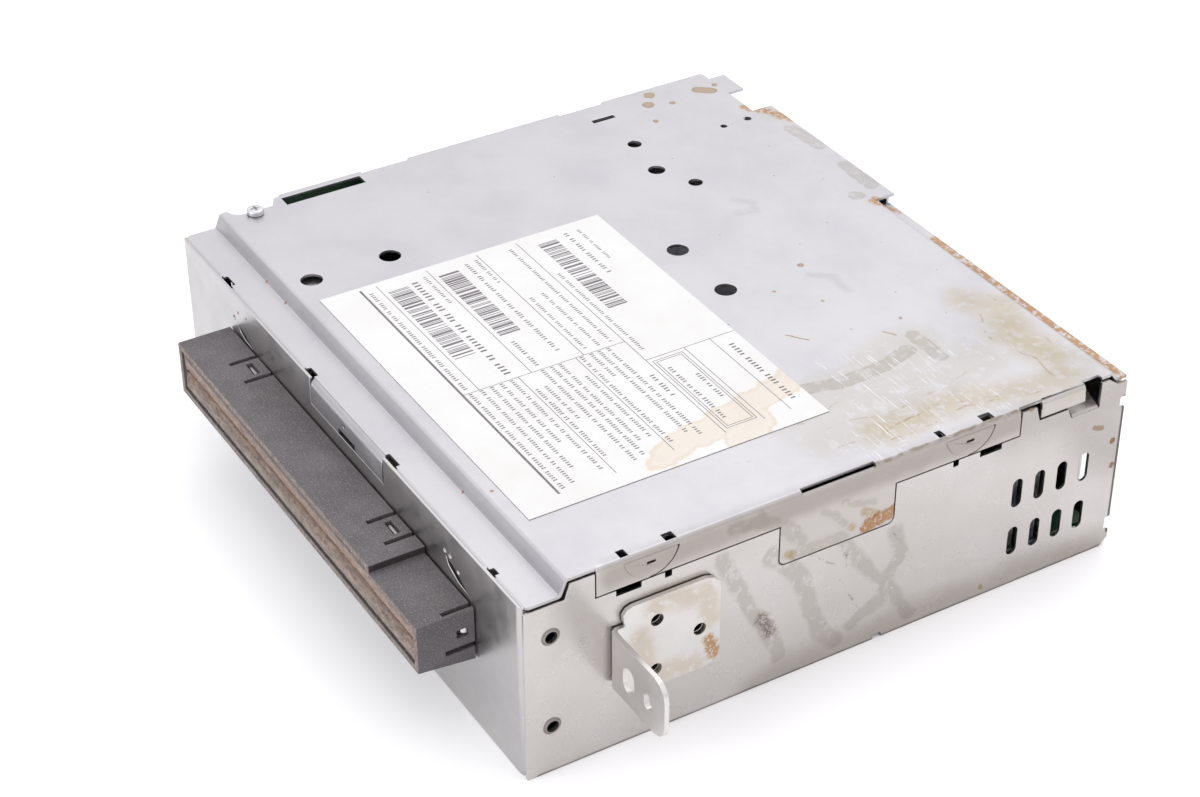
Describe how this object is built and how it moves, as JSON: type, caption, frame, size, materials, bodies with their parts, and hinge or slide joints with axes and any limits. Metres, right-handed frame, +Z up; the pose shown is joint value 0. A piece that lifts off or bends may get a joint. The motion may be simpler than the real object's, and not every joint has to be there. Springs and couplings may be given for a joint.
{
  "type": "car radio disc player module",
  "caption": "Single-slot car radio and disc player in a zinc-coated sheet steel case, with a black disc-slot bezel, side brackets, a vented side and a full disc deck inside.",
  "frame": {"origin": "centre of the case's bottom face, halfway between its sides and between its front and rear planes", "axes": "+X to the right as seen from the front, +Y to the rear, +Z up"},
  "size_m": [0.224, 0.18, 0.0533],
  "materials": {
    "zinc_sheet": "zinc-coated sheet steel, satin with soft spangle, rusty in places",
    "bright_steel": "bright bare steel",
    "black_plastic": "moulded black plastic, matt and dusty",
    "felt": "brown-grey felt, dusty",
    "paper": "white printed film label",
    "green_board": "green lacquered circuit board",
    "aluminium": "plain aluminium",
    "dark_epoxy": "black moulded epoxy or plastic",
    "white_plastic": "off-white moulded acetal",
    "black_rubber": "soft black rubber",
    "lens_glass": "small clear lens",
    "brass": "plain brass",
    "amber_film": "amber film cable"
  },
  "bodies": {
    "case": {"top_lid": "zinc_sheet", "lid_screw": "bright_steel", "rating_label": "paper", "side_panel_right": "zinc_sheet", "side_panel_left": "zinc_sheet", "bracket_right": "zinc_sheet", "bracket_left": "zinc_sheet", "slot_bezel": "black_plastic", "dust_lip_upper": "felt", "dust_lip_lower": "felt", "front_panel": "zinc_sheet", "rear_panel": "zinc_sheet", "bottom_cover": "zinc_sheet", "main_board": "green_board", "control_board": "green_board", "board_pillar_front": "brass", "board_pillar_rear": "brass", "tuner_module": "bright_steel", "capacitor_bank": "dark_epoxy", "heat_sink": "aluminium", "power_amplifier": "dark_epoxy", "processor_chip": "dark_epoxy", "main_connector": "black_plastic", "connector_pins": "brass", "optical_connector": "black_plastic", "antenna_sockets": "bright_steel", "deck_frame": "zinc_sheet", "deck_screw_front_right": "bright_steel", "deck_screw_front_left": "bright_steel", "deck_screw_rear_right": "bright_steel", "deck_screw_rear_left": "bright_steel", "deck_chassis": "bright_steel", "disc_guide": "white_plastic", "damper_front_left": "black_rubber", "damper_front_right": "black_rubber", "damper_rear_left": "black_rubber", "damper_rear_right": "black_rubber", "loading_motor": "bright_steel", "spindle_motor": "bright_steel", "guide_rod": "bright_steel", "sled_motor": "bright_steel", "clamp_pin": "bright_steel", "deck_board": "green_board", "deck_film": "amber_film", "control_film": "amber_film"},
    "feed_roller": {"feed_roller": "black_rubber", "roller_shaft": "bright_steel", "roller_gear": "white_plastic"},
    "idler": {"idler_gear": "white_plastic"},
    "reduction": {"reduction_gear": "white_plastic"},
    "pinion": {"motor_pinion": "brass"},
    "spindle": {"turntable": "dark_epoxy", "spindle_shaft": "bright_steel"},
    "sled": {"pickup_sled": "aluminium", "objective_lens": "lens_glass"},
    "screw": {"lead_screw": "bright_steel"},
    "clamp": {"clamp_arm": "bright_steel"},
    "puck": {"clamp_puck": "dark_epoxy"},
    "slider": {"mode_slider": "white_plastic"},
    "lever": {"trigger_lever": "white_plastic"}
  },
  "joints": [
    {"name": "roller_spin", "type": "hinge", "parent": "case", "child": "feed_roller", "pos_m": [0.0036, -0.0725, 0.0235], "axis": [1, 0, 0], "continuous": true},
    {"name": "idler_spin", "type": "hinge", "parent": "case", "child": "idler", "pos_m": [-0.0552, -0.06425, 0.0199], "axis": [1, 0, 0], "continuous": true},
    {"name": "reduction_spin", "type": "hinge", "parent": "case", "child": "reduction", "pos_m": [-0.0552, -0.05334, 0.01849], "axis": [1, 0, 0], "continuous": true},
    {"name": "pinion_spin", "type": "hinge", "parent": "case", "child": "pinion", "pos_m": [-0.0552, -0.047, 0.02249], "axis": [1, 0, 0], "continuous": true},
    {"name": "turntable_spin", "type": "hinge", "parent": "case", "child": "spindle", "pos_m": [0.0036, -0.0085, 0.0252], "axis": [0, 0, 1], "continuous": true},
    {"name": "sled_slide", "type": "slide", "parent": "case", "child": "sled", "axis": [0, 1, 0], "range_m": [0, 0.035]},
    {"name": "lead_screw_spin", "type": "hinge", "parent": "case", "child": "screw", "pos_m": [-0.0114, 0.02, 0.0216], "axis": [0, 1, 0], "range_deg": [0, 4210]},
    {"name": "mode_slide", "type": "slide", "parent": "case", "child": "slider", "axis": [0, 1, 0], "range_m": [0, 0.008]},
    {"name": "clamp_swing", "type": "hinge", "parent": "case", "child": "clamp", "pos_m": [0.0036, 0.06, 0.0308], "axis": [1, 0, 0], "range_deg": [0, 4.01]},
    {"name": "puck_spin", "type": "hinge", "parent": "clamp", "child": "puck", "pos_m": [0.0036, -0.00833, 0.03558], "axis": [0, 0.0698, 0.9976], "continuous": true},
    {"name": "trigger_swing", "type": "hinge", "parent": "case", "child": "lever", "pos_m": [-0.034, 0.042, 0.0193], "axis": [0, 0, 1], "range_deg": [0, 20], "stiffness_Nm_per_rad": 0.0005, "springref_deg": -11.46}
  ],
  "couplings": [
    {"joint": "idler_spin", "follows": "roller_spin", "ratio": -0.5},
    {"joint": "reduction_spin", "follows": "roller_spin", "ratio": 0.6},
    {"joint": "pinion_spin", "follows": "roller_spin", "ratio": -1.2},
    {"joint": "lead_screw_spin", "follows": "sled_slide", "rad_per_m": 2094.4},
    {"joint": "clamp_swing", "follows": "mode_slide", "rad_per_m": 8.7266}
  ]
}
